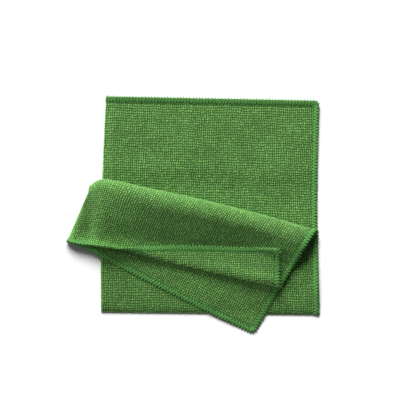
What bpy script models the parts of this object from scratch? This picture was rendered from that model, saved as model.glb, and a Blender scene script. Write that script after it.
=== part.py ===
"""A square microfibre cloth with an overlocked edge, folded in four, with its upper pair of layers
turned back over a soft slanted loop.

The cloth lies on Z = 0 and is seen from above with +Y up. It is one sheet. Its first fold is the left
edge and its second the bottom edge, so four layers lie open at the top and on the right. The upper two
layers turn back over the lower two, and the loose corner of the uppermost layer folds back once more
along a crease. A line of the sheet runs from the open end of the lower pair, round the bottom fold, up
to the loop, round it and down the flap. The sheet is the loft of these lines.
"""

import math
from collections import namedtuple

import bmesh
import bpy
import numpy as np
from mathutils import Matrix

MM = 0.001

# The cloth as it was cut.
SIDE = 400 * MM
THICKNESS = 1.1 * MM
QUARTER = SIDE / 2

# The folded stack. A pitch is the height from the middle of one layer to the middle of the next.
PITCH = 2.0 * MM
LOOP_PITCH = 2.8 * MM
LOWEST_LAYER = THICKNESS / 2
LOWER_PAIR = LOWEST_LAYER + 0.5 * PITCH
UPPER_PAIR = LOWEST_LAYER + 2.5 * PITCH
BOTTOM_LEFT = np.array((0.6, 0)) * MM
BOTTOM_RIGHT = np.array((202.3, -2.5)) * MM
TOP_LEFT = np.array((5.3, 199.5)) * MM
TOP_RIGHT = np.array((202.3, 195.5)) * MM
OUTER_BEND = 6.0 * MM  # how deep the bottom fold is in its outer layer, and in its inner one
INNER_BEND = 0.7 * MM
BEND_SHARE = OUTER_BEND / QUARTER
RIGHT_WAIST = 2.2 * MM  # how far the open right edge bows in halfway up
LEFT_WAIST = 1.9 * MM  # how far the left fold bows out there
OUTER_SHORT = 2.5 * MM  # the outer layer goes further round the bottom fold, so it ends lower
VEER_FROM = 0.52  # share of the way to the loop from which the upper pair slips sideways

# The layers draw together towards the bottom fold, and stand apart along their thick stitched edges.
DRAWN_TO = 0.45
DRAWN_OVER = 42 * MM
SPLAY_OVER = 8 * MM
SECOND_SPLAY = 0.6 * MM
THIRD_SPLAY = 1.4 * MM
TOP_SPLAY = 2.4 * MM
SPLAY_ENDS = 0.33  # share of the upper pair's way to the loop over which its splay starts, and ends

# Soft swells of the second layer where nothing lies on it, above OPEN_FROM, a share of the stack's height,
# and the height it gains beside the left fold.
OPEN_FROM = 0.58
OPEN_FADE = 0.1
PILLOW = 1.3 * MM
PILLOW_OVER = 9 * MM
Swell = namedtuple("Swell", "x y radius height")
SWELLS = (
    Swell(84.6, 156.7, 26.0, 1.3),
    Swell(164.6, 122.3, 17.0, 1.1),
    Swell(42.0, 130.0, 16.0, 0.9),
    Swell(127.0, 178.0, 16.0, 0.7),
    Swell(28.0, 168.0, 14.0, 0.8),
    Swell(176.0, 160.0, 14.0, 0.6),
)

# How the turned-back pair rests on the stack, and hangs to the surface beyond it.
REST_ON_STACK = LOWEST_LAYER + 4 * PITCH
REST_ON_SURFACE = 2.8 * MM
OVERHANG = 17 * MM

# Lines of the turned-back pair, from the left fold at across 0 to the open edge at across 1. Places are
# in millimetres from the lower left corner of the stack, and angles in degrees. crest is the far edge
# of the loop as seen from above and slope its direction there, slip the angle at which the line runs
# askew past it, and drop the length over which the flap comes down. The loop is half an ellipse, radius
# high and reach long. lower is the edge of the lower layer.
# The upper layer stands off it by gape. It turns up from a foot that far short of the crease, on the turn
# radius, is cut off that far beyond the crease, and its edge is raised off the flap.
FlapLine = namedtuple(
    "FlapLine",
    "across crest_x crest_y slope slip radius reach drop gape lower_x lower_y foot turn beyond raised",
)
FLAP_LINES = (
    FlapLine(0.00, -9.8, 116.4, -14.0, 18.0, 4.2, 4.2, 44, 0.3, -30.6, 66.0, 2.4, 6.0, 1.2, 0.0),
    FlapLine(0.06, 0.0, 122.2, -5.0, 17.0, 5.4, 5.6, 45, 0.3, -20.2, 61.5, 5.2, 7.0, 2.6, 0.0),
    FlapLine(0.13, 14.2, 121.2, 6.0, 13.0, 6.8, 7.2, 44, 0.3, -9.0, 56.5, 7.8, 7.2, 2.2, 0.3),
    FlapLine(0.25, 42.3, 115.0, 12.0, 12.0, 8.4, 9.2, 42, 0.3, 12.0, 44.8, 6.4, 3.8, 1.8, 0.4),
    FlapLine(0.50, 94.9, 103.8, 14.0, 14.0, 8.2, 10.0, 37, 0.1, 54.8, 22.6, 2.1, 1.2, 15.6, 0.0),
    FlapLine(0.75, 147.0, 90.7, 16.0, 16.0, 6.9, 10.6, 24, 0.1, 98.4, 0.6, 1.8, 1.3, 26.4, 0.0),
    FlapLine(1.00, 200.2, 75.5, 17.5, 16.0, 5.2, 12.0, 29, 0.3, 142.3, -20.0, 2.6, 2.1, 36.6, 0.6),
)
SLIP_BEFORE = math.radians(14)  # the angle at which the lines run askew up to the crest
FLAP_ROUNDING = 0.18

# The upper layer bulges beside the left fold, and the bulge dies out towards the middle.
PUFF = 4.5 * MM
PUFF_OVER = 9 * MM
PUFF_GONE = 55 * MM

# The crease along which the loose corner of the uppermost layer is folded back, as seen from above.
CREASE_LEFT = np.array((-30.6, 66.6)) * MM
CREASE_RIGHT = np.array((169.3, 21.9)) * MM
CREASE_REACH = 189.5 * MM  # how far along the crease the open edge meets it
STRIP_REST = 1.6 * MM  # middle of the folded-back strip over the layer it lies on
STRIP_SETTLES_OVER = 12 * MM
STRIP_LEAN = 0.12  # how far each line of the strip leans towards the open edge
HUMP = 0.9 * MM  # height of the strip's swell beside the crease, and its distance from there
HUMP_AT = 8 * MM
HUMP_FROM = 20 * MM  # least width of strip that has the whole swell

# Rows of the sheet, from the open end of the lower pair to the open end of the upper pair.
LOWER_SHARES = (0.0, 0.02, 0.05, 0.12, 0.22, 0.32, 0.42, 0.55, 0.75, 1.0)
BEND_ROWS = 5
UPPER_ROWS = 6
LOOP_ROWS = 10
FLAP_ROWS = 8
TURNED_ROWS = 15
ROLL_ROWS = 9  # those of the turned rows that go round the crease
ROLL = 7.6 * MM  # length of cloth that goes round the crease
LEAD = 1.5 * MM  # length of the turned rows that lies before the crease
EDGE_ROW = 0.28 * MM  # least width of a turned row, where the crease runs out into the edge

# Columns of the sheet, as shares of its width from the left fold to the open edge.
NEAR_FOLD = (0.02, 0.045, 0.07, 0.10, 0.13, 0.17, 0.22, 0.27)
FAR_FROM_FOLD = (0.33, 0.40, 0.48, 0.57, 0.66, 0.75, 0.84, 0.91, 0.96, 0.982, 1.0)
FOLD_STEPS = 4  # columns in each half of the left fold
FOLD_WIDTH = 0.85 * PITCH
FOLD_NARROWS_OVER = 12 * MM

SOFT = 0.5  # rounding of a ramp that has no straight part

# A quarter circle passes this share of the way from its corner to the middle of its chord.
CORNER_CUT = 2 - math.sqrt(2)

GREEN = (0.084, 0.195, 0.048, 1)
ROUGHNESS = 0.9


def ease(x, rounding=0.25):
    """A ramp from 0 to 1 that starts and ends level, straight in between."""
    x = min(max(x, 0.0), 1.0)
    if x > 0.5:
        return 1 - ease(1 - x, rounding)
    if x > rounding:
        return (x - rounding / 2) / (1 - rounding)
    return x * x / (2 * rounding * (1 - rounding))


def unit(vector):
    return vector / np.linalg.norm(vector)


def lifted(plan, height):
    return np.array((plan[0], plan[1], height))


def line_value(column, across):
    """A column of FLAP_LINES between its rows, on a smooth curve through them."""
    places = [row.across for row in FLAP_LINES]
    values = [getattr(row, column) for row in FLAP_LINES]
    slopes = np.gradient(values, places)
    i = min(max(int(np.searchsorted(places, across)) - 1, 0), len(places) - 2)
    width = places[i + 1] - places[i]
    t = (across - places[i]) / width
    return (
        (1 + 2 * t) * (1 - t) ** 2 * values[i]
        + t * (1 - t) ** 2 * width * slopes[i]
        + t * t * (3 - 2 * t) * values[i + 1]
        - t * t * (1 - t) * width * slopes[i + 1]
    )


def pressed(point):
    """Share of its height and thickness that the stack keeps, as it narrows towards the bottom fold."""
    above_fold = point[1] - BOTTOM_RIGHT[1] * point[0] / QUARTER
    near = 1 - min(max(above_fold / DRAWN_OVER, 0.0), 1.0)
    return 1 - (1 - DRAWN_TO) * near**2


def stack_point(across, up):
    """Plan position on the folded stack, as shares of the way from its left and bottom folds. The left
    fold narrows where the stack is pressed."""
    bottom = BOTTOM_LEFT * (1 - across) + BOTTOM_RIGHT * across
    top = TOP_LEFT * (1 - across) + TOP_RIGHT * across
    point = bottom * (1 - up) + top * up
    waist = LEFT_WAIST * (1 - across) + RIGHT_WAIST * across
    from_fold = across * QUARTER
    fold = min(from_fold, FOLD_WIDTH * max(1 - (from_fold - FOLD_WIDTH) / FOLD_NARROWS_OVER, 0.0))
    point[0] -= waist * math.sin(math.pi * up) + (1 - pressed(point)) * fold
    return point


def drawn(height, point):
    return LOWEST_LAYER + (height - LOWEST_LAYER) * pressed(point)


def beyond_stack(point):
    """How far a plan position lies outside the stack's folded edges."""
    fold_x = BOTTOM_LEFT[0] + (TOP_LEFT[0] - BOTTOM_LEFT[0]) * point[1] / QUARTER
    fold_y = BOTTOM_RIGHT[1] * point[0] / QUARTER
    return max(fold_x - point[0], fold_y - point[1], 0.0)


def rest_height(point):
    """Middle of a layer that rests on the stack, or hangs down to the surface beyond it."""
    on_stack = drawn(REST_ON_STACK, point)
    return on_stack + (REST_ON_SURFACE - on_stack) * ease(beyond_stack(point) / OVERHANG, SOFT)


def beside_edge(distance):
    """1 at a stitched edge, and 0 from SPLAY_OVER inside it on."""
    return 1 - ease(distance / SPLAY_OVER, SOFT)


def swell(across, point, up):
    """Lift of the second layer off the lowest one."""
    lift = PILLOW * ease(across * QUARTER / PILLOW_OVER, SOFT) * ease((up - OPEN_FROM) / OPEN_FADE)
    lift += SECOND_SPLAY * beside_edge(min(1 - up, 1 - across) * QUARTER)
    for hill in SWELLS:
        away = np.linalg.norm(point / MM - (hill.x, hill.y)) / hill.radius
        lift += hill.height * MM * math.exp(-(away**2))
    return lift


class Loop:
    """The soft loop of the upper pair, along one line of the sheet."""

    def __init__(self, across):
        slope = math.radians(line_value("slope", across))
        slip = math.radians(line_value("slip", across))
        self.along = np.array((math.cos(slope), -math.sin(slope)))
        self.out = np.array((math.sin(slope), math.cos(slope)))
        self.radius = line_value("radius", across) * MM
        self.reach = line_value("reach", across) * MM
        self.slip_before = self.reach * math.tan(SLIP_BEFORE)
        self.slip_after = self.reach * math.tan(slip)
        crest = np.array((line_value("crest_x", across), line_value("crest_y", across))) * MM
        self.crest = crest - (PITCH + THICKNESS) / 2 * self.out
        self.start = self.plan(0.0)
        self.end = self.plan(math.pi)
        self.top = UPPER_PAIR + 2 * self.radius

    def plan(self, angle):
        past_crest = angle - math.pi / 2
        outwards = self.reach * (math.sin(angle) - 1)
        slip = (self.slip_after if past_crest > 0 else self.slip_before) * past_crest
        return self.crest + outwards * self.out - slip * self.along


CREASE_ALONG = unit(CREASE_RIGHT - CREASE_LEFT)
CREASE_OUT = np.array((CREASE_ALONG[1], -CREASE_ALONG[0]))
FOOT_ACROSS = np.linspace(0, 1, 61)
FOOT_POINTS = np.array([Loop(across).end for across in FOOT_ACROSS])
FOOT_START = FOOT_POINTS[0]
FOOT_LINE = FOOT_POINTS[-1] - FOOT_START


def along_foot(point):
    """Share of the straight way along the loop's foot, from the left fold to the open edge."""
    return (point - FOOT_START) @ FOOT_LINE / (FOOT_LINE @ FOOT_LINE)


FOOT_PLACES = [along_foot(point) for point in FOOT_POINTS]


def come_down(point, start, rest):
    """Height of a layer of the turned-back pair over a plan position."""
    at = along_foot(point)
    foot = np.array([np.interp(at, FOOT_PLACES, FOOT_POINTS[:, axis]) for axis in (0, 1)])
    across = np.interp(at, FOOT_PLACES, FOOT_ACROSS)
    top = UPPER_PAIR + 2 * line_value("radius", across) * MM + start
    away = (point - foot) @ np.array((FOOT_LINE[1], -FOOT_LINE[0])) / np.linalg.norm(FOOT_LINE)
    fallen = ease(away / (line_value("drop", across) * MM), FLAP_ROUNDING)
    return top + (rest_height(point) + rest - top) * fallen


def past_crease(point, across):
    """Distance of an unfolded plan position past the line where the cloth starts to turn up."""
    return (point - CREASE_LEFT) @ CREASE_OUT + line_value("foot", across) * MM


def upper_end(across):
    reach = CREASE_REACH * across * CREASE_ALONG
    return CREASE_LEFT + reach + line_value("beyond", across) * MM * CREASE_OUT


def stand_off(across):
    """How far the upper layer of the turned-back pair stands off the lower one."""
    from_fold = across * QUARTER
    bulge = math.sqrt(1 - (1 - min(from_fold / PUFF_OVER, 1.0)) ** 2)
    bulge -= ease((from_fold - PUFF_OVER) / PUFF_GONE, SOFT)
    return line_value("gape", across) * MM + PUFF * bulge


def turned_corner(point, across):
    """The uppermost layer after its corner is rolled over the crease and laid back."""
    past = past_crease(point, across)
    turn = line_value("turn", across) * MM
    rolled = max(past, 0.0)
    angle = min(rolled / turn, math.pi)
    laid = max(rolled - math.pi * turn, 0.0)
    strip = max(past_crease(upper_end(across), across) - math.pi * turn, EDGE_ROW)
    rise = turn * (1 - math.cos(angle)) + line_value("raised", across) * MM * laid / strip
    rise -= (2 * turn - STRIP_REST) * ease(laid / STRIP_SETTLES_OVER, SOFT)
    rise += HUMP * min(strip / HUMP_FROM, 1.0) * laid / HUMP_AT * math.exp(1 - laid / HUMP_AT)
    plan = point + (turn * math.sin(angle) - laid - rolled) * CREASE_OUT + STRIP_LEAN * laid * CREASE_ALONG
    return lifted(plan, come_down(plan, LOOP_PITCH / 2, PITCH + stand_off(across)) + rise)


def turned_past(share, past_end):
    """Distance past the crease of a row of the turned part. Rows keep in line with the crease, and
    close up along the edge where the crease comes near it."""
    row = share * TURNED_ROWS
    if row <= ROLL_ROWS:
        past = (ROLL + LEAD) * row / ROLL_ROWS - LEAD
    else:
        past = ROLL + max(past_end - ROLL, 0.0) * (row - ROLL_ROWS) / (TURNED_ROWS - ROLL_ROWS)
    return min(past, past_end - EDGE_ROW * (TURNED_ROWS - row))


# Each function below gives a point of the sheet in one stretch of its lines. share runs along the
# stretch, lift from 0 in the left fold to 1 where the two layers of a pair are a full pitch apart, and
# side is 1 on the layer that is outside in the bottom fold and -1 on the other.


def lower_pair(across, share, side, lift):
    top = 1 - OUTER_SHORT / QUARTER * max(side, 0) * lift
    up = top + (BEND_SHARE - top) * share
    plan = stack_point(across, up)
    height = LOWER_PAIR - side * lift * PITCH / 2
    if side < 0:
        height += swell(across, plan, up) * lift
    return lifted(plan, drawn(height, plan))


def bottom_bend(across, share, side, lift):
    angle = math.pi * share
    radius = PITCH + side * lift * PITCH / 2
    depth = (OUTER_BEND + INNER_BEND) / 2 + (OUTER_BEND - INNER_BEND) / 2 * side * lift
    plan = stack_point(across, BEND_SHARE) - np.array((0, depth * math.sin(angle)))
    return lifted(plan, drawn(LOWER_PAIR + PITCH - radius * math.cos(angle), plan))


def upper_pair(across, share, side, lift):
    loop = Loop(across)
    start = stack_point(across, BEND_SHARE)
    straight = stack_point(across, loop.start[1] / QUARTER)
    veer = ease((share - VEER_FROM) / (1 - VEER_FROM), SOFT)
    plan = start + (straight - start) * share + (loop.start - straight) * veer
    height = drawn(UPPER_PAIR + side * lift * PITCH / 2, plan)
    splay = (TOP_SPLAY * (1 + side) + THIRD_SPLAY * (1 - side)) / 2 * beside_edge((1 - across) * QUARTER)
    return lifted(plan, height + splay * ease(share / SPLAY_ENDS) * ease((1 - share) / SPLAY_ENDS))


def round_loop(across, share, side, lift):
    loop = Loop(across)
    angle = math.pi * share
    inwards = side * lift * (PITCH + (LOOP_PITCH - PITCH) * ease(2 * share)) / 2
    plan = loop.plan(angle) - inwards * math.sin(angle) * loop.out
    height = UPPER_PAIR + loop.radius - (loop.radius - inwards) * math.cos(angle)
    return lifted(plan, height)


def flap(across, share, side, lift, turned=0.0):
    """The turned-back pair between the loop and the crease, and on from there for turned over 0."""
    start = Loop(across).end
    lower_end = np.array((line_value("lower_x", across), line_value("lower_y", across))) * MM
    past_start = past_crease(start, across)
    past_end = past_crease(upper_end(across), across)
    past = past_start + (turned_past(turned, past_end) - past_start) * share
    way = (past - past_start) / (past_end - past_start)
    lower = start + (lower_end - start) * way
    lower = lifted(lower, come_down(lower, -LOOP_PITCH / 2, 0.0))
    upper = turned_corner(start + (upper_end(across) - start) * way, across)
    return (lower + upper) / 2 + side * lift * (lower - upper) / 2


def turned(across, share, side, lift):
    return flap(across, 1.0, side, lift, share)


def rows():
    """(stretch, share) of each row of the sheet."""
    listed = [(lower_pair, share) for share in LOWER_SHARES]
    counts = {bottom_bend: BEND_ROWS, upper_pair: UPPER_ROWS, round_loop: LOOP_ROWS}
    counts |= {flap: FLAP_ROWS, turned: TURNED_ROWS}
    for stretch, count in counts.items():
        listed += [(stretch, (step + 1) / count) for step in range(count)]
    return listed


def columns():
    """(across, side, lift) of each column, from the open edge of the outer layers round the left fold
    to the open edge of the inner layers."""
    fold = [math.pi / 2 * step / FOLD_STEPS for step in range(FOLD_STEPS + 1)]
    half = [(FOLD_WIDTH * (1 - math.cos(angle)) / QUARTER, math.sin(angle)) for angle in fold]
    half += [(share, 1.0) for share in NEAR_FOLD + FAR_FROM_FOLD]
    outer = [(across, 1, lift) for across, lift in reversed(half)]
    inner = [(across, -1, lift) for across, lift in half[1:]]
    return outer + inner


def round_corners(grid):
    """Draws each corner of the cut cloth in to an arc between its neighbours."""
    for row, next_row in ((0, 1), (-1, -2)):
        for column, next_column in ((0, 1), (-1, -2)):
            chord = (grid[row][next_column].co + grid[next_row][column].co) / 2
            corner = grid[row][column]
            corner.co = corner.co.lerp(chord, CORNER_CUT)


def make_cloth():
    mesh = bmesh.new()
    grid = []
    weights = mesh.verts.layers.deform.verify()
    for stretch, share in rows():
        row = [mesh.verts.new(stretch(across, share, side, lift)) for across, side, lift in columns()]
        for vertex in row:
            in_stack = stretch in (lower_pair, bottom_bend, upper_pair)
            vertex[weights][0] = pressed(vertex.co) if in_stack else 1.0
        grid.append(row)
    round_corners(grid)
    for near, far in zip(grid, grid[1:]):
        for i in range(len(near) - 1):
            mesh.faces.new((near[i], near[i + 1], far[i + 1], far[i]))
    bmesh.ops.recalc_face_normals(mesh, faces=mesh.faces)
    data = bpy.data.meshes.new("cloth")
    mesh.to_mesh(data)
    mesh.free()
    data.shade_smooth()
    cloth = bpy.data.objects.new("cloth", data)
    bpy.context.scene.collection.objects.link(cloth)
    thickness = cloth.modifiers.new("thickness", "SOLIDIFY")
    thickness.thickness = THICKNESS
    thickness.offset = 0
    thickness.vertex_group = cloth.vertex_groups.new(name="thickness").name
    return cloth


def centre(cloth):
    """Puts the middle of the cloth's outline over the origin, and its underside on the surface."""
    bpy.context.view_layer.update()
    evaluated = cloth.evaluated_get(bpy.context.evaluated_depsgraph_get())
    corners = np.array([corner[:] for corner in evaluated.bound_box])
    low = corners.min(axis=0)
    high = corners.max(axis=0)
    cloth.data.transform(Matrix.Translation((-(low[0] + high[0]) / 2, -(low[1] + high[1]) / 2, -low[2])))


def microfibre():
    material = bpy.data.materials.new("green_microfibre")
    material.use_nodes = True
    shader = material.node_tree.nodes["Principled BSDF"]
    shader.inputs["Base Color"].default_value = GREEN
    shader.inputs["Roughness"].default_value = ROUGHNESS
    shader.inputs["Metallic"].default_value = 0.0
    return material


def main():
    for old in list(bpy.data.objects):
        bpy.data.objects.remove(old)
    cloth = make_cloth()
    centre(cloth)
    cloth.data.materials.append(microfibre())


main()
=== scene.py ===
import math
from collections import namedtuple

import bpy
import numpy as np
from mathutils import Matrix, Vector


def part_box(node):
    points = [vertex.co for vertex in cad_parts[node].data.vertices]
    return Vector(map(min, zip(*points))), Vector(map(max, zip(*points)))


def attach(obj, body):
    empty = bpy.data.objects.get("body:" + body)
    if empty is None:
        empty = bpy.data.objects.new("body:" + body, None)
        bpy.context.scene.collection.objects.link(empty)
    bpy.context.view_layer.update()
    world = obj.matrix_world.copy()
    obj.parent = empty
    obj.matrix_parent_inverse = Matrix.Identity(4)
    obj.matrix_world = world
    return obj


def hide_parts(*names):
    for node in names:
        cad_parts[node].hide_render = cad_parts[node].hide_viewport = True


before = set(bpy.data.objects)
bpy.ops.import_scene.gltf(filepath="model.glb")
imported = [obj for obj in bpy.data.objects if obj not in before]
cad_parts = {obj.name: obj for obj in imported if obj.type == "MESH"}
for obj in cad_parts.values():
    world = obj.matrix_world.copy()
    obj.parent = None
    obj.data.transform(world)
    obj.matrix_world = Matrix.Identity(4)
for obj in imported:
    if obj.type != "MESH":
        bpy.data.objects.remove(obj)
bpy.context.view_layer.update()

# ---------------------------------------------------------------------------------------------------
# The cloth: a square of knitted microfibre with small loops on both faces, folded in four. Its upper
# pair of layers is turned back over a soft slanted loop, and the free corner of the top layer is folded
# back once more along a crease. It is one sheet, held by nothing but its own folds.

MM = 0.001
SIDE = 400.0
QUARTER = SIDE / 2
THICKNESS = 1.1

# The middles of two layers lie a pitch apart, and further apart in the loop and beyond it.
PITCH = 2.0
LOOP_PITCH = 2.8
LOWER_PAIR = THICKNESS / 2 + 0.5 * PITCH
UPPER_PAIR = THICKNESS / 2 + 2.5 * PITCH


def ease(x, rounding=0.25):
    """A ramp from 0 to 1 that starts and ends level, straight in between."""
    x = np.clip(x, 0, 1)
    near = np.minimum(x, 1 - x)
    curved = near * near / (2 * rounding * (1 - rounding))
    rise = np.where(near > rounding, (near - rounding / 2) / (1 - rounding), curved)
    return np.where(x > 0.5, 1 - rise, rise)


def dot(a, b):
    """The dot product of two places in plan, which are complex numbers, in millimetres."""
    return (a * np.conj(b)).real


def unit(vectors):
    return vectors / np.linalg.norm(vectors, axis=-1, keepdims=True)


# The columns of the mesh run from the open edge of the outer layers round the left fold to the open edge
# of the inner ones, closer together at the cut edges and the fold. lift grows from 0 in the fold to 1
# where the two layers lie a full pitch apart. layer is the same, with a minus on the inner layers.
FOLD_WIDTH = 0.85 * PITCH
FOLD_STEPS = 5
NEAR_FOLD = (2.7, 3.9, 5.5, 7.6, 10.0)
NEAR_EDGE = np.array((0, 0.4, 1.0, 1.8, 2.8, 3.8, 4.5, 5.0, 5.5, 6.2, 7.4))
COLUMN = 2.35
fold_angles = np.linspace(0, math.pi / 2, FOLD_STEPS + 1)
body_columns = np.arange(NEAR_FOLD[-1] + COLUMN, QUARTER - NEAR_EDGE[-1] - COLUMN / 2, COLUMN)
half_columns = np.concatenate(
    (FOLD_WIDTH * (1 - np.cos(fold_angles)), NEAR_FOLD, body_columns, QUARTER - NEAR_EDGE[::-1])
)
half_lift = np.append(np.sin(fold_angles), np.ones(len(half_columns) - len(fold_angles)))
across = np.concatenate((half_columns[::-1], half_columns[1:])) / QUARTER
from_fold = across * QUARTER
lift = np.concatenate((half_lift[::-1], half_lift[1:]))
side = np.where(np.arange(len(across)) < len(half_columns), 1.0, -1.0)
layer = side * lift
inner = np.maximum(-layer, 0)

# The corners of the folded stack in plan. Its sides draw in at the waist, and the bulk of the left fold
# narrows where the stack is pressed flatter towards the bottom fold.
BOTTOM_LEFT = 0.6
BOTTOM_RIGHT = 202.3 - 2.5j
TOP_LEFT = 5.3 + 199.5j
TOP_RIGHT = 202.3 + 195.5j
LEFT_WAIST = 1.9
RIGHT_WAIST = 2.2
FOLD_NARROWS_OVER = 12.0
PRESSED_TO = 0.45
PRESSED_OVER = 42.0


def above_bottom(point):
    return point.imag - BOTTOM_RIGHT.imag * point.real / QUARTER


def pressed(point):
    """Share of its height and thickness that the stack keeps, as it narrows towards the bottom fold."""
    near = 1 - np.clip(above_bottom(point) / PRESSED_OVER, 0, 1)
    return 1 - (1 - PRESSED_TO) * near**2


def pressed_height(height, point):
    return THICKNESS / 2 + (height - THICKNESS / 2) * pressed(point)


def stack_point(up):
    """The line across the stack in plan that lies this share of the way up it."""
    bottom = BOTTOM_LEFT * (1 - across) + BOTTOM_RIGHT * across
    top = TOP_LEFT * (1 - across) + TOP_RIGHT * across
    point = bottom * (1 - up) + top * up
    waist = (RIGHT_WAIST * across + LEFT_WAIST * (1 - across)) * np.sin(math.pi * up)
    bulk = np.maximum(1 - (from_fold - FOLD_WIDTH) / FOLD_NARROWS_OVER, 0)
    return point - waist - (1 - pressed(point)) * np.minimum(from_fold, FOLD_WIDTH * bulk)


# Each stretch of the sheet is a function, which gives one line across it at a share of its length: the
# line's places in plan, and its heights.

# The lower pair runs from its open end down to the bottom fold. Its outer layer ends short of the inner one.
# The inner one is a little puffed up beyond the loop, and doesn't lie quite flat.
OUTER_SHORT = 2.5
PUFFED_FROM = 0.58
PUFFED_OVER = 0.1
PILLOW = 1.3
PILLOW_OVER = 9.0
LOWER_SPLAY = 0.6
SPLAY_OVER = 8.0
Swell = namedtuple("Swell", "x y radius height")
SWELLS = (
    Swell(84.6, 156.7, 26.0, 1.3),
    Swell(164.6, 122.3, 17.0, 1.1),
    Swell(42.0, 130.0, 16.0, 0.9),
    Swell(127.0, 178.0, 16.0, 0.7),
    Swell(28.0, 168.0, 14.0, 0.8),
    Swell(176.0, 160.0, 14.0, 0.6),
)

# How far the layers reach round the bottom fold. The inner ones are folded shallower than the outer ones,
# except close to the left fold.
OUTER_BEND = 6.0
INNER_BEND = 0.7
BEND_STEP = 1.0
SHALLOW_FROM = 2.0
SHALLOW_OVER = 12.0
BEND_SHARE = OUTER_BEND / QUARTER


def lower_pair(share):
    top = 1 - OUTER_SHORT / QUARTER * np.maximum(layer, 0)
    up = top + (BEND_SHARE - top) * share
    plan = stack_point(up)
    pillow = PILLOW * ease(from_fold / PILLOW_OVER, 0.5) * ease((up - PUFFED_FROM) / PUFFED_OVER)
    from_edge = np.minimum(1 - up, 1 - across) * QUARTER
    splay = LOWER_SPLAY * (1 - ease(from_edge / SPLAY_OVER, 0.5))
    height = LOWER_PAIR - layer * PITCH / 2 + inner * (pillow + splay)
    for swell in SWELLS:
        away = ((plan.real - swell.x) ** 2 + (plan.imag - swell.y) ** 2) / swell.radius**2
        height += inner * swell.height * np.exp(-away)
    return plan, pressed_height(height, plan)


def bottom_bend(share):
    angle = math.pi * share
    bend = PITCH + layer * PITCH / 2
    shallow = (OUTER_BEND - BEND_STEP - INNER_BEND) * ease((from_fold - SHALLOW_FROM) / SHALLOW_OVER)
    depth = OUTER_BEND - BEND_STEP * (1 - layer) / 2 - inner * shallow
    plan = stack_point(BEND_SHARE) - 1j * depth * math.sin(angle)
    return plan, pressed_height(LOWER_PAIR + PITCH - bend * math.cos(angle), plan)


# Lines of the turned-back pair, from the left fold to the open edge. The loop's crest comes first, with the
# slope of the crest and of the cloth's slip past it in degrees, and the loop's radius in height and its
# reach in plan. Then come how far the pair takes to come down from the loop, how much further than a
# pitch its layers gape, and where the lower one ends. The upper one turns up from a foot short of the
# crease, on the radius turn. Laid flat it would reach that far beyond the crease, and its edge is raised.
FlapLine = namedtuple(
    "FlapLine",
    "across crest_x crest_y slope slip radius reach drop gape lower_x lower_y foot turn beyond raised",
)
FLAP_LINES = (
    FlapLine(0.00, -9.8, 116.4, -14.0, 18.0, 4.2, 4.2, 44, 0.3, -30.6, 66.0, 2.4, 6.0, 1.2, 0.0),
    FlapLine(0.06, 0.0, 122.2, -5.0, 17.0, 5.4, 5.6, 45, 0.3, -20.2, 61.5, 5.2, 7.0, 2.6, 0.0),
    FlapLine(0.13, 14.2, 121.2, 6.0, 13.0, 6.8, 7.2, 44, 0.3, -9.0, 56.5, 7.8, 7.2, 2.2, 0.3),
    FlapLine(0.25, 42.3, 115.0, 12.0, 12.0, 8.4, 9.2, 42, 0.3, 12.0, 44.8, 6.4, 3.8, 1.8, 0.4),
    FlapLine(0.50, 94.9, 103.8, 14.0, 14.0, 8.2, 10.0, 37, 0.1, 54.8, 22.6, 2.1, 1.2, 15.6, 0.0),
    FlapLine(0.75, 147.0, 90.7, 16.0, 16.0, 6.9, 10.6, 24, 0.1, 98.4, 0.6, 1.8, 1.3, 26.4, 0.0),
    FlapLine(1.00, 200.2, 75.5, 17.5, 16.0, 5.2, 12.0, 29, 0.3, 142.3, -20.0, 2.6, 2.1, 36.6, 3.4),
)


def line_value(column, at=across):
    """A column of FLAP_LINES at places between its rows, on a smooth curve through them."""
    places = np.array([row.across for row in FLAP_LINES])
    values = np.array([getattr(row, column) for row in FLAP_LINES])
    slopes = np.gradient(values, places)
    i = np.clip(np.searchsorted(places, at) - 1, 0, len(places) - 2)
    width = places[i + 1] - places[i]
    t = (at - places[i]) / width
    return (
        (1 + 2 * t) * (1 - t) ** 2 * values[i]
        + t * (1 - t) ** 2 * width * slopes[i]
        + t * t * (3 - 2 * t) * values[i + 1]
        - t * t * (1 - t) * width * slopes[i + 1]
    )


# The soft loop over which the upper pair is turned back. The cloth slips a little along it.
SLIP_BEFORE = math.radians(14)
along = np.exp(-1j * np.radians(line_value("slope")))
out = 1j * along
radius = line_value("radius")
reach = line_value("reach")
slip_before = reach * math.tan(SLIP_BEFORE)
slip_after = reach * np.tan(np.radians(line_value("slip")))
crest = line_value("crest_x") + 1j * line_value("crest_y") - (PITCH + THICKNESS) / 2 * out


def loop_plan(angle):
    past_crest = angle - math.pi / 2
    slip = np.where(past_crest > 0, slip_after, slip_before) * past_crest
    return crest + reach * (np.sin(angle) - 1) * out - slip * along


def round_loop(share):
    angle = math.pi * share
    inwards = layer * (PITCH + (LOOP_PITCH - PITCH) * ease(2 * share)) / 2
    plan = loop_plan(angle) - inwards * math.sin(angle) * out
    return plan, UPPER_PAIR + radius - (radius - inwards) * math.cos(angle)


# The upper pair runs from the bottom fold to the loop's start. It veers over to the slant of the loop, and
# its cut edges stand a little up from the stack.
VEER_FROM = 0.52
UPPER_SPLAY = 1.9
SPLAY_APART = 0.5
SPLAY_ENDS = 1 / 3
loop_start = loop_plan(0.0)


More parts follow.
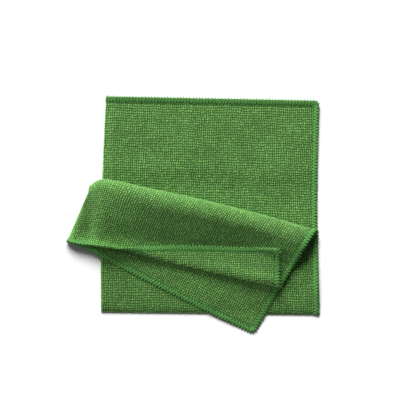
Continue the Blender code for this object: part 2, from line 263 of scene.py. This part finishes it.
def upper_pair(share):
    start = stack_point(BEND_SHARE)
    straight = stack_point(loop_start.imag / QUARTER)
    veer = ease((share - VEER_FROM) / (1 - VEER_FROM), 0.5)
    plan = start + (straight - start) * share + (loop_start - straight) * veer
    at_edge = 1 - ease((1 - across) * QUARTER / SPLAY_OVER, 0.5)
    splay = (UPPER_SPLAY + SPLAY_APART * layer) * at_edge
    splay *= ease(share / SPLAY_ENDS) * ease((1 - share) / SPLAY_ENDS)
    return plan, pressed_height(UPPER_PAIR + layer * PITCH / 2, plan) + splay


# Beyond the loop the pair comes down from the loop's shoulder, to rest on the stack, or to hang to the
# table beyond it. Its two layers gape, most of all near the left fold, where they are puffed up.
SETTLED = 0.6
REST_ON_STACK = THICKNESS / 2 + 4 * PITCH - SETTLED
REST_ON_TABLE = 2.8
OVERHANG = 17.0
DROP_ROUNDING = 0.18
PUFF = 4.5
PUFF_OVER = 9.0
PUFF_GONE = 55.0
puff_rise = np.sqrt(1 - (1 - np.minimum(from_fold / PUFF_OVER, 1)) ** 2)
puff = PUFF * (puff_rise - ease((from_fold - PUFF_OVER) / PUFF_GONE, 0.5))
gape = line_value("gape") + puff
loop_end = loop_plan(math.pi)
shoulder = loop_end[side < 0]
shoulder_line = shoulder[-1] - shoulder[0]


def rest_height(point):
    """Middle of a layer that rests on the stack, or hangs down to the table beyond it."""
    left_of_stack = BOTTOM_LEFT + (TOP_LEFT.real - BOTTOM_LEFT) * point.imag / QUARTER - point.real
    beyond = np.maximum(np.maximum(left_of_stack, -above_bottom(point)), 0)
    on_stack = pressed_height(REST_ON_STACK, point)
    return on_stack + (REST_ON_TABLE - on_stack) * ease(beyond / OVERHANG, 0.5)


def along_shoulder(point):
    return dot(point - shoulder[0], shoulder_line) / abs(shoulder_line) ** 2


def come_down(point, start, rest):
    """Height of a layer of the turned-back pair, over a place in plan."""
    at = along_shoulder(point)
    left_at = np.interp(at, along_shoulder(shoulder), shoulder)
    line = np.interp(at, along_shoulder(shoulder), across[side < 0])
    top = UPPER_PAIR + 2 * line_value("radius", line) + start
    away = dot(point - left_at, -1j * shoulder_line) / abs(shoulder_line)
    fallen = ease(away / line_value("drop", line), DROP_ROUNDING)
    return top + (rest_height(point) + rest - top) * fallen


# The corner of the top layer, folded back along a crease. The strip that it makes settles onto the layer
# under it, with a low hump where it leaves the turn. TINY stands for no width where one is divided by.
CREASE_LEFT = -30.6 + 66.6j
CREASE_RIGHT = 169.3 + 21.9j
CREASE_REACH = 189.5
STRIP_REST = 1.6
STRIP_SETTLES_OVER = 12.0
STRIP_LEAN = 0.12
HUMP = 0.9
HUMP_AT = 8.0
HUMP_FROM = 20.0
TINY = 1e-9
crease_along = (CREASE_RIGHT - CREASE_LEFT) / abs(CREASE_RIGHT - CREASE_LEFT)
crease_out = -1j * crease_along
foot = line_value("foot")
turn = line_value("turn")
raised = line_value("raised")
lower_end = line_value("lower_x") + 1j * line_value("lower_y")
upper_end = CREASE_LEFT + CREASE_REACH * across * crease_along + line_value("beyond") * crease_out


def past_foot(point):
    """How far a place of the upper layer, laid out flat, lies past the foot of the turn."""
    return dot(point - CREASE_LEFT, crease_out) + foot


past_start = past_foot(loop_end)
past_end = past_foot(upper_end)


def folded_corner(past):
    """How far the fold moves the upper layer in plan and lifts it, that far past the foot."""
    rolled = np.maximum(past, 0)
    angle = np.minimum(rolled / turn, math.pi)
    laid = np.maximum(rolled - math.pi * turn, 0)
    strip = np.maximum(past_end - math.pi * turn, TINY)
    rise = turn * (1 - np.cos(angle)) + raised * laid / strip
    rise -= (2 * turn - STRIP_REST) * ease(laid / STRIP_SETTLES_OVER, 0.5)
    rise += HUMP * np.minimum(strip / HUMP_FROM, 1) * (laid / HUMP_AT) * np.exp(1 - laid / HUMP_AT)
    return (turn * np.sin(angle) - rolled - laid) * crease_out + STRIP_LEAN * laid * crease_along, rise


def turned_back(past):
    """A line of the turned-back pair, where its upper layer is that far past the foot."""
    way = (past - past_start) / (past_end - past_start)
    lower = loop_end + (lower_end - loop_end) * way
    lower_height = come_down(lower, -LOOP_PITCH / 2, 0.0)
    move, rise = folded_corner(past)
    upper = loop_end + (upper_end - loop_end) * way + move
    upper_height = come_down(upper, LOOP_PITCH / 2, PITCH + gape) + rise
    plan = (lower + upper) / 2 + layer * (lower - upper) / 2
    return plan, (lower_height + upper_height) / 2 + layer * (lower_height - upper_height) / 2


# Rows of the folded corner, as distances past the foot: round the turn, along the strip, and close together
# along the cut edge. Where the strip is too narrow for them all, they are packed against that edge.
LEAD = 1.5
ROLL = 7.6
ROLL_ROWS = 18
STRIP_ROWS = 9
PACKED_ROW = 0.3
strip_width = np.maximum(past_end - NEAR_EDGE[-1] - ROLL, 0)
wanted_rows = list(np.linspace(-LEAD, ROLL, ROLL_ROWS))
wanted_rows += [ROLL + strip_width * share for share in np.linspace(0, 1, STRIP_ROWS + 2)[1:-1]]
turned_rows = []
for k, past in enumerate(wanted_rows):
    packed = past_end - NEAR_EDGE[-1] - PACKED_ROW * (len(wanted_rows) - k)
    turned_rows.append(np.minimum(past, packed))
turned_rows += [past_end - from_edge for from_edge in NEAR_EDGE[::-1]]

# The whole sheet, row by row.
LOWER_LENGTH = QUARTER - 4.0
ROW = 2.5
BEND_ROWS = 8
UPPER_ROWS = 36
LOOP_ROWS = 24
FLAP_ROWS = 26
lower_rows = np.concatenate((NEAR_EDGE, np.arange(NEAR_EDGE[-1] + ROW, LOWER_LENGTH, ROW))) / LOWER_LENGTH
lines = [lower_pair(share) for share in np.append(lower_rows, 1)]
for stretch, count in ((bottom_bend, BEND_ROWS), (upper_pair, UPPER_ROWS), (round_loop, LOOP_ROWS)):
    lines += [stretch((step + 1) / count) for step in range(count)]
for step in range(FLAP_ROWS):
    lines.append(turned_back(past_start + (turned_rows[0] - past_start) * (step + 1) / FLAP_ROWS))
lines += [turned_back(past) for past in turned_rows[1:]]
grid = np.array([np.stack((plan.real, plan.imag, height), axis=-1) for plan, height in lines])
rows, cols = grid.shape[:2]
loop_row = len(lower_rows) + BEND_ROWS + UPPER_ROWS

# Where each point lies on the flat cloth: u from the left fold, v from the open end of the lower pair.
steps = np.linalg.norm(np.diff(grid, axis=0), axis=2)
flat_v = np.vstack((np.zeros(cols), np.cumsum(steps, axis=0)))
from_loop = flat_v[loop_row:] - flat_v[loop_row]
flat_v[loop_row:] = flat_v[loop_row] + from_loop * (SIDE - flat_v[loop_row]) / from_loop[-1]
steps = np.linalg.norm(np.diff(grid[len(lower_rows) // 2], axis=0), axis=1)
flat_u = np.append(0, np.cumsum(steps))
flat_u = np.tile(SIDE * flat_u / flat_u[-1] - QUARTER, (rows, 1))


def tangents():
    """Unit vectors down the rows and over the columns."""
    return unit(np.gradient(grid, axis=0)), unit(np.gradient(grid, axis=1))


# Rounds the corners of the cut.
CORNER_RADIUS = 4.0
down, over = tangents()
in_u = np.maximum(CORNER_RADIUS - (QUARTER - abs(flat_u)), 0)
in_v = np.maximum(CORNER_RADIUS - np.minimum(flat_v, SIDE - flat_v), 0)
pull = np.maximum(in_u, in_v) / np.maximum(np.hypot(in_u, in_v), TINY) - 1
shift_u = in_u * pull * np.sign(flat_u)
shift_v = in_v * pull * np.sign(flat_v - QUARTER)
grid += over * shift_u[..., None] + down * shift_v[..., None]
flat_u += shift_u
flat_v += shift_v

# The edges of the turned-back pair droop onto what they lie on, all but the upper one near the left fold.
DROOP = 1.0
DROOP_OVER = 5.5
DROOP_ROWS = 8
UPPER_DROOP_FROM = 0.3
UPPER_DROOP_OVER = 0.1
edge = np.minimum(QUARTER - abs(flat_u), np.minimum(flat_v, SIDE - flat_v))
below_loop = ease((np.arange(rows) - loop_row - LOOP_ROWS) / DROOP_ROWS)[:, None]
loose = np.maximum(side > 0, ease((across - UPPER_DROOP_FROM) / UPPER_DROOP_OVER))
grid[..., 2] -= DROOP * np.clip(1 - edge / DROOP_OVER, 0, 1) ** 2 * below_loop * loose

# The face that shows on top of the stack is the outer one.
down, over = tangents()
outer = unit(np.cross(down, over))

# The overlocked edge is pressed thinner than the rest, deepest where the needle thread pulls it in.
FROM_EDGE = (0.0, 1.0, 3.8, 5.0, 6.2, 7.4)
HALF_THICK = (0.40, 0.55, 0.40, 0.20, 0.45, 0.55)
half_thick = np.interp(edge, FROM_EDGE, HALF_THICK)
half_thick[:loop_row] *= pressed(grid[:loop_row, :, 0] + 1j * grid[:loop_row, :, 1])

# The sheet was drawn from the stack's lower left corner, and lies where the CAD model's cloth does.
low, high = (np.array(corner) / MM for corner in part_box("cloth"))
shift = (low + high) / 2 - (grid.min(axis=(0, 1)) + grid.max(axis=(0, 1))) / 2
shift[2] = 0
grid += shift


def placed(name, data):
    """A new object of the scene."""
    made = bpy.data.objects.new(name, data)
    bpy.context.scene.collection.objects.link(made)
    return made


def mesh_object(name, vertices, faces, loops_uv=None):
    data = bpy.data.meshes.new(name)
    data.from_pydata(vertices.tolist(), [], faces.tolist())
    data.shade_smooth()
    if loops_uv is not None:
        data.uv_layers.new(name="OFBake").data.foreach_set("uv", loops_uv.astype(np.float32).ravel())
    return placed(name, data)


# Two faces on the sheet's grid, and a rim that stands out between them round the cut.
RIM_OUT = 0.3
index = np.arange(rows * cols).reshape(rows, cols)
quads = np.stack((index[:-1, :-1], index[:-1, 1:], index[1:, 1:], index[1:, :-1]), axis=-1).reshape(-1, 4)
rim = np.concatenate((index[0, :-1], index[:-1, -1], index[-1, :0:-1], index[:0:-1, 0]))
flat = np.stack((flat_u + QUARTER, flat_v), axis=-1).reshape(-1, 2)
from_centre = flat[rim] - QUARTER
outward_flat = np.sign(from_centre) * (abs(from_centre) > QUARTER - CORNER_RADIUS)
rim_over, rim_down = (tangent.reshape(-1, 3)[rim] for tangent in (over, down))
outward = unit(rim_over * outward_flat[:, :1] + rim_down * outward_flat[:, 1:])
middle = grid.reshape(-1, 3)
to_face = (outer * half_thick[..., None]).reshape(-1, 3)
vertices = np.concatenate((middle + to_face, middle - to_face, middle[rim] + outward * RIM_OUT))
count = rows * cols
ring = np.arange(len(rim)) + 2 * count
next_rim = np.roll(rim, -1)
next_ring = np.roll(ring, -1)
rim_a = np.stack((next_rim, rim, ring, next_ring), axis=-1)
rim_b = np.stack((rim + count, next_rim + count, next_ring, ring), axis=-1)
faces = np.concatenate((quads[:, ::-1], quads + count, rim_a, rim_b))

# The two faces lie side by side on the flat map, each with its half of the rim.
MARGIN = 2.0
HALF_MAP = SIDE + 4 * MARGIN
MAP_SIDE = 2 * HALF_MAP
flat_rim = flat[rim] + np.sign(outward_flat) * RIM_OUT
place_a = np.array((2 * MARGIN, 2 * MARGIN))
place_b = place_a + (HALF_MAP, 0)
uv_a = np.concatenate((flat + place_a, flat, flat_rim + place_a)) / MAP_SIDE
uv_b = np.concatenate((flat, flat + place_b, flat_rim + place_b)) / MAP_SIDE
mapped = ((uv_a, quads[:, ::-1]), (uv_b, quads + count), (uv_a, rim_a), (uv_b, rim_b))
loops_uv = np.concatenate([places[part] for places, part in mapped])
cloth = mesh_object("microfibre_cloth", vertices * MM, faces, loops_uv)


class Wire:
    """A link in a material, on which sums are written as sums."""

    def __init__(self, tree, socket=None):
        self.tree = tree
        self.socket = socket

    def node(self, kind, out=0, settings=None, **inputs):
        """Adds a node with these settings and socket values or links, and gives one of its outputs. A
        socket goes by its name, or by n and its number."""
        made = self.tree.nodes.new(kind)
        for name, value in (settings or {}).items():
            setattr(made, name, value)
        for name, value in inputs.items():
            key = int(name[1:]) if name[1:].isdigit() else name
            if isinstance(value, Wire):
                self.tree.links.new(value.socket, made.inputs[key])
            else:
                made.inputs[key].default_value = value
        return Wire(self.tree, made.outputs[out])

    def maths(self, operation, *others):
        inputs = {f"n{i}": value for i, value in enumerate((self, *others))}
        return self.node("ShaderNodeMath", settings={"operation": operation}, **inputs)

    def __add__(self, other):
        return self.maths("ADD", other)

    def __sub__(self, other):
        return self.maths("SUBTRACT", other)

    def __rsub__(self, other):
        return self.node("ShaderNodeMath", settings={"operation": "SUBTRACT"}, n0=other, n1=self)

    def __mul__(self, other):
        return self.maths("MULTIPLY", other)

    __radd__ = __add__
    __rmul__ = __mul__

    def clamp(self):
        return self.node("ShaderNodeClamp", Value=self)

    def ramp(self, low, high):
        """0 below low, 1 above high."""
        return self.node("ShaderNodeMapRange", n0=self, n1=low, n2=high)

    def colour(self, dark, light):
        """A colour between two, by this factor."""
        return self.node("ShaderNodeMix", 2, {"data_type": "RGBA"}, n0=self, n6=dark, n7=light)


def vectors(operation, wire, other):
    return wire.node("ShaderNodeVectorMath", settings={"operation": operation}, n0=wire, n1=other)


def noise(place, scale, detail, out=0):
    settings = {"noise_dimensions": "2D"}
    return place.node("ShaderNodeTexNoise", out, settings, Vector=place, Scale=scale, Detail=detail)


def moved(place, scale, amount):
    """A place moved about at random by up to half the amount."""
    by = vectors("SUBTRACT", noise(place, scale, 1.0, out=1), (0.5, 0.5, 0.5))
    return vectors("ADD", place, vectors("MULTIPLY", by, (amount, amount, 0)))


def ridges(turns, valley):
    """Rounded ridges, one a turn, that are 1 on top and this value between them."""
    return (turns * math.tau).maths("COSINE") * ((1 - valley) / 2) + (1 + valley) / 2


def varied(tone, amount):
    """A factor that differs from 1 by up to half the amount, with a tone of 0 to 1."""
    return tone * amount + (1 - amount / 2)


def new_material(name, values):
    """A material with these values on its shader's own sockets, and that shader."""
    made = bpy.data.materials.new(name)
    made.use_nodes = True
    shader = made.node_tree.nodes["Principled BSDF"]
    for socket, value in values.items():
        shader.inputs[socket].default_value = value
    return made, shader


# The terry: small loops in upright wales and level courses, which are a little bent and uneven as knitting
# is. Its colour has painted shade between the loops and is light on their tips, with wide soft patches, and
# with the fuzz of its finest hairs. Under the stitches round the edge it is darkened with painted shade.
WALE = 1.9
COURSE = 2.3
LOOP_HEIGHT = 0.55
# Painted shade between the loops, the dark end of the terry's colour.
SHADE_BETWEEN_LOOPS = (0.008, 0.035, 0.003, 1)
LOOP_TIPS = (0.224, 0.535, 0.124, 1)
WALE_VALLEY = 0.1
COURSE_VALLEY = 0.25
WIDE_BENDS = (0.07, 1.2)
SMALL_BENDS = (0.5, 0.85)
PATCH_SCALE = 0.12
FUZZ_SCALE = 3.0
LOOP_TONES_DIFFER = 0.7
LOOP_HEIGHTS_DIFFER = 0.4
PATCHES_DIFFER = 0.6
FUZZ_TONE = 0.12
FUZZ_HEIGHT = 0.1
ALL_DARKER = 0.03
# Painted shade on the cloth under the overlock stitches: how much darker it is there.
SHADE_UNDER_STITCHES = 0.5
STITCHED_FROM = QUARTER - 5.4
STITCHED_BY = QUARTER - 4.2
microfibre, shader = new_material(
    "microfibre",
    {
        "Roughness": 0.9,
        "Specular IOR Level": 0.2,
        "Sheen Weight": 1.0,
        "Sheen Roughness": 0.5,
        "Sheen Tint": (0.5, 1.0, 0.35, 1),
    },
)
tree = microfibre.node_tree
uv = Wire(tree).node("ShaderNodeUVMap", settings={"uv_map": "OFBake"})
place = vectors("MULTIPLY", uv, (MAP_SIDE / WALE, MAP_SIDE / COURSE, 0))
bent = moved(moved(place, *WIDE_BENDS), *SMALL_BENDS)
wales, courses = (bent.node("ShaderNodeSeparateXYZ", axis, n0=bent) for axis in (0, 1))
settings = {"voronoi_dimensions": "2D", "feature": "F1"}
cell = bent.node("ShaderNodeTexVoronoi", 1, settings, Vector=bent, Scale=1.0, Randomness=0.0)
loop_tone = cell.node("ShaderNodeSeparateColor", 0, n0=cell)
patches = noise(place, PATCH_SCALE, 3.0)
fuzz = noise(place, FUZZ_SCALE, 2.0)
loops = ridges(wales, WALE_VALLEY) * ridges(courses, COURSE_VALLEY)

# back is 0 on the first face's half of the flat map and 1 on the second face's.
across_map, up_map = (uv.node("ShaderNodeSeparateXYZ", axis, n0=uv) * MAP_SIDE for axis in (0, 1))
back = across_map.ramp(HALF_MAP - 0.5, HALF_MAP + 0.5)
from_middle_u = (across_map - 2 * MARGIN - back * HALF_MAP - QUARTER).maths("ABSOLUTE")
from_middle_v = (up_map - 2 * MARGIN - QUARTER).maths("ABSOLUTE")
# The band under the stitches, where the cloth gets painted shade.
stitch_shade_band = from_middle_u.maths("MAXIMUM", from_middle_v).ramp(STITCHED_FROM, STITCHED_BY)

tone = loops * varied(loop_tone, LOOP_TONES_DIFFER) * varied(patches, PATCHES_DIFFER)
# Painted shade darkens the tone under the stitches.
tone = (tone + FUZZ_TONE * fuzz - ALL_DARKER) * (1 - SHADE_UNDER_STITCHES * stitch_shade_band)
height = loops.maths("SQRT") * varied(loop_tone, LOOP_HEIGHTS_DIFFER) + FUZZ_HEIGHT * fuzz
# The colour runs from painted shade between the loops to the colour of the loop tips.
colour = tone.clamp().colour(SHADE_BETWEEN_LOOPS, LOOP_TIPS)
bump = height.node("ShaderNodeBump", Height=height, Distance=LOOP_HEIGHT * MM, Strength=1.0)
tree.links.new(colour.socket, shader.inputs["Base Color"])
tree.links.new(bump.socket, shader.inputs["Normal"])
cloth.data.materials.append(microfibre)

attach(cloth, "root")
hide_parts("cloth")

# ---------------------------------------------------------------------------------------------------
# The overlock thread: fine green polyester, stitched round all four edges of the cloth. The looper threads
# wrap the edge from face to face, and the needle thread holds them down along a line inside the edge.

STITCH = 2.95

# The stitched band is a strip of ribs, which run in from the cut edge to the distances in BAND. FIRST and
# LAST pick the points of a line of the mesh, from its first or its last one inwards.
BAND = (0.0, 0.5, 1.2, 2.2, 3.3, 4.4, 5.2)
RIB_POINTS = 14
CORNER_STEPS = 8
FIRST = slice(RIB_POINTS)
LAST = slice(None, -RIB_POINTS - 1, -1)


def rib(line, flat_map):
    """Places and outer normals of the rib on this line of the mesh, from a cut edge."""
    away = abs(flat_map[line] - flat_map[line][0])
    return [
        np.stack([np.interp(BAND, away, table[line][:, axis]) for axis in range(3)], axis=-1)
        for table in (grid, outer)
    ]


def corner_ribs(row, col, v_first):
    """Ribs that fan round a rounded corner, from one along v or, if not v_first, from one along u."""
    step_r = 1 if row == 0 else -1
    step_c = 1 if col == 0 else -1
    to_hub = int(np.argmin(abs(NEAR_EDGE - CORNER_RADIUS)))
    hub = (row + step_r * to_hub, col + step_c * to_hub)
    first, second = -step_r * down[hub], -step_c * over[hub]
    if not v_first:
        first, second = second, first
    fan = []
    for angle in np.linspace(0, math.pi / 2, CORNER_STEPS + 1)[1:-1]:
        outwards = math.cos(angle) * first + math.sin(angle) * second
        places = [grid[hub] + (CORNER_RADIUS - inside) * outwards for inside in BAND]
        fan.append([np.array(places), np.array([outer[hub]] * len(BAND))])
    return fan


def straight_rows(col):
    return [r for r in range(rows) if CORNER_RADIUS <= flat_v[r, col] <= SIDE - CORNER_RADIUS]


straight_cols = [c for c in range(cols) if abs(flat_u[rows // 2, c]) <= QUARTER - CORNER_RADIUS]
ribs = [rib((FIRST, c), flat_v) for c in straight_cols]
ribs += corner_ribs(0, cols - 1, True)
ribs += [rib((r, LAST), flat_u) for r in straight_rows(-1)]
ribs += corner_ribs(rows - 1, cols - 1, False)
ribs += [rib((LAST, c), flat_v) for c in straight_cols[::-1]]
ribs += corner_ribs(rows - 1, 0, True)
ribs += [rib((r, FIRST), flat_u) for r in straight_rows(0)[::-1]]
ribs += corner_ribs(0, 0, False)
ribs.append(ribs[0])
rib_places, rib_normals = np.array(ribs).swapaxes(0, 1)
edge_steps = np.linalg.norm(np.diff(rib_places[:, 0], axis=0), axis=1)
edge_length = np.append(0, np.cumsum(edge_steps))
stitches = round(edge_length[-1] / STITCH)
stitch = edge_length[-1] / stitches


def on_band(along_edge, inside, above):
    """Points in space from distances along the edge, inside it, and above the middle of the cloth."""
    station = np.interp(along_edge % edge_length[-1], edge_length, np.arange(len(edge_length)))
    depth = np.interp(inside, BAND, np.arange(len(BAND)))
    i = np.minimum(station.astype(int), len(edge_length) - 2)
    j = np.minimum(depth.astype(int), len(BAND) - 2)
    s, t = (station - i)[:, None], (depth - j)[:, None]

    def between(table):
        near = table[i, j] * (1 - t) + table[i, j + 1] * t
        far = table[i + 1, j] * (1 - t) + table[i + 1, j + 1] * t
        return near * (1 - s) + far * s

    proud = unit(rib_places[i, 0] - rib_places[i, 1]) * np.maximum(-inside, 0)[:, None]
    return between(rib_places) + proud + between(rib_normals) * above[:, None]


# One stitch of a looper thread on one face: the share of a stitch along the edge, how far inside the edge
# and above the middle of the cloth, and the thread's half width and half height. It runs out from the
# needle line to a knot on the edge, and back.
Bend = namedtuple("Bend", "share inside above wide high")
LOOPER = (
    Bend(0.00, 4.8, 0.30, 0.60, 0.30),
    Bend(0.13, 3.9, 0.42, 0.78, 0.30),
    Bend(0.21, 2.6, 0.50, 0.82, 0.32),
    Bend(0.27, 1.2, 0.74, 0.70, 0.36),
    Bend(0.34, 0.1, 0.80, 0.56, 0.44),
    Bend(0.42, -0.8, 0.24, 0.78, 0.66),
    Bend(0.54, 0.2, 0.74, 0.52, 0.42),
    Bend(0.66, 1.3, 0.72, 0.68, 0.34),
    Bend(0.76, 2.7, 0.48, 0.82, 0.30),
    Bend(0.87, 4.0, 0.40, 0.74, 0.28),
)
# The needle thread, a row of stitches sunk into the cloth on the inner side of the loopers.
NEEDLE = (
    Bend(0.00, 5.1, 0.10, 0.22, 0.20),
    Bend(0.25, 5.1, 0.42, 0.30, 0.26),
    Bend(0.50, 5.1, 0.52, 0.32, 0.28),
    Bend(0.75, 5.1, 0.42, 0.30, 0.26),
)
# The stitches are a little uneven: along the edge, as a share of a stitch, and inside it, in millimetres.
# All of the thread stays above the table.
UNEVEN_ALONG = 0.03
UNEVEN_INSIDE = 0.10
THREAD_SIDES = 5
ABOVE_TABLE = 0.02
rng = np.random.default_rng(7)


def stitched_thread(bends, face):
    """A closed thread that repeats these bends in every stitch, on one face of the cloth."""
    share, inside, above, wide, high = (np.tile(column, stitches) for column in np.array(bends).T)
    uneven = np.repeat(rng.normal(0, 1, (2, stitches)), len(bends), axis=1)
    along_edge = (np.repeat(np.arange(stitches), len(bends)) + share + UNEVEN_ALONG * uneven[0]) * stitch
    inside = inside + UNEVEN_INSIDE * uneven[1]
    spine = on_band(along_edge, inside, above * face)
    ahead = unit(np.roll(spine, -1, axis=0) - np.roll(spine, 1, axis=0))
    # The direction to a place a millimetre along the edge keeps the thread's cross-sections from twisting.
    first = on_band(along_edge + 1.0, inside, above * face) - spine
    first = unit(first - ahead * (first * ahead).sum(axis=1, keepdims=True))
    second = np.cross(ahead, first)
    angles = np.arange(THREAD_SIDES)[:, None] * math.tau / THREAD_SIDES
    across_thread = wide[:, None, None] * np.cos(angles) * first[:, None]
    tube = spine[:, None] + across_thread + high[:, None, None] * np.sin(angles) * second[:, None]
    tube[..., 2] = np.maximum(tube[..., 2], ABOVE_TABLE)
    ring = np.arange(len(spine) * THREAD_SIDES).reshape(-1, THREAD_SIDES)
    after = np.roll(ring, -1, axis=0)
    sides = (ring, np.roll(ring, -1, axis=1), np.roll(after, -1, axis=1), after)
    return tube.reshape(-1, 3), np.stack(sides, axis=-1).reshape(-1, 4)


threads = [stitched_thread(bends, face) for bends in (LOOPER, NEEDLE) for face in (1, -1)]
offsets = np.cumsum([0] + [len(points) for points, _ in threads])
thread_points = np.concatenate([points for points, _ in threads])
thread_faces = np.concatenate([faces + offset for (_, faces), offset in zip(threads, offsets)])
overlock = mesh_object("overlock_thread", thread_points * MM, thread_faces)

# Fine textured polyester, smoother than the terry and with less sheen.
thread_material, _ = new_material(
    "overlock_thread",
    {
        "Base Color": (0.083, 0.275, 0.056, 1),
        "Roughness": 0.7,
        "Specular IOR Level": 0.2,
        "Sheen Weight": 0.3,
        "Sheen Roughness": 0.5,
        "Sheen Tint": (0.7, 1.0, 0.5, 1),
    },
)
overlock.data.materials.append(thread_material)

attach(overlock, "root")

# ---------------------------------------------------------------------------------------------------
# The table, covered with plain white paper. Soft light falls on the cloth from beyond its top, and less
# of it from the left. The table has a light of its own, for the short soft shadow round the cloth.

TABLE_HALF = 4000.0
table_corners = np.array(((-1, -1, 0), (1, -1, 0), (1, 1, 0), (-1, 1, 0))) * TABLE_HALF * MM
table = mesh_object("table", table_corners, np.array([[0, 1, 2, 3]]))
paper, _ = new_material("white paper", {"Base Color": (0.92, 0.92, 0.92, 1), "Roughness": 0.9})
table.data.materials.append(paper)

# The azimuth goes from the top of the picture to the left, and angles are in degrees.
Light = namedtuple("Light", "name azimuth elevation spread strength lit")
LIGHTS = (
    Light("key", 8, 23.5, 34, 5.45, (cloth, overlock)),
    Light("left", 75, 24, 22, 1.6, (cloth, overlock)),
    Light("overhead", 4, 48, 30, 4.25, (table,)),
)
for light in LIGHTS:
    lamp_data = bpy.data.lights.new(light.name, "SUN")
    lamp_data.angle = math.radians(light.spread)
    lamp_data.energy = light.strength
    lamp = placed(light.name, lamp_data)
    azimuth, elevation = math.radians(light.azimuth), math.radians(light.elevation)
    level = math.cos(elevation)
    lamp.location = (-math.sin(azimuth) * level, math.cos(azimuth) * level, math.sin(elevation))
    lamp.rotation_euler = (-lamp.location).to_track_quat("-Z", "Y").to_euler()
    lit = bpy.data.collections.new(light.name)
    for piece in light.lit:
        lit.objects.link(piece)
    lamp.light_linking.receiver_collection = lit

ROOM_LIGHT = 0.10
world = bpy.data.worlds.new("world")
world.use_nodes = True
world.node_tree.nodes["Background"].inputs["Color"].default_value = (1, 1, 1, 1)
world.node_tree.nodes["Background"].inputs["Strength"].default_value = ROOM_LIGHT
bpy.context.scene.world = world
bpy.context.scene.view_settings.view_transform = "Standard"
bpy.context.scene.view_settings.look = "None"

# ---------------------------------------------------------------------------------------------------
# The camera looks straight down, at a place measured as the cloth is, from the stack's lower left corner.
# It is far up, so that what stands higher hardly looks larger.

VIEW_MIDDLE = (99.5, 96.3)
VIEW_WIDTH = 0.3869
CAMERA_HEIGHT = 1.5
SENSOR = 36
camera_data = bpy.data.cameras.new("camera")
camera_data.sensor_width = SENSOR
camera_data.lens = SENSOR * CAMERA_HEIGHT / VIEW_WIDTH
camera = placed("camera", camera_data)
camera.location = ((VIEW_MIDDLE[0] + shift[0]) * MM, (VIEW_MIDDLE[1] + shift[1]) * MM, CAMERA_HEIGHT)
bpy.context.scene.camera = camera
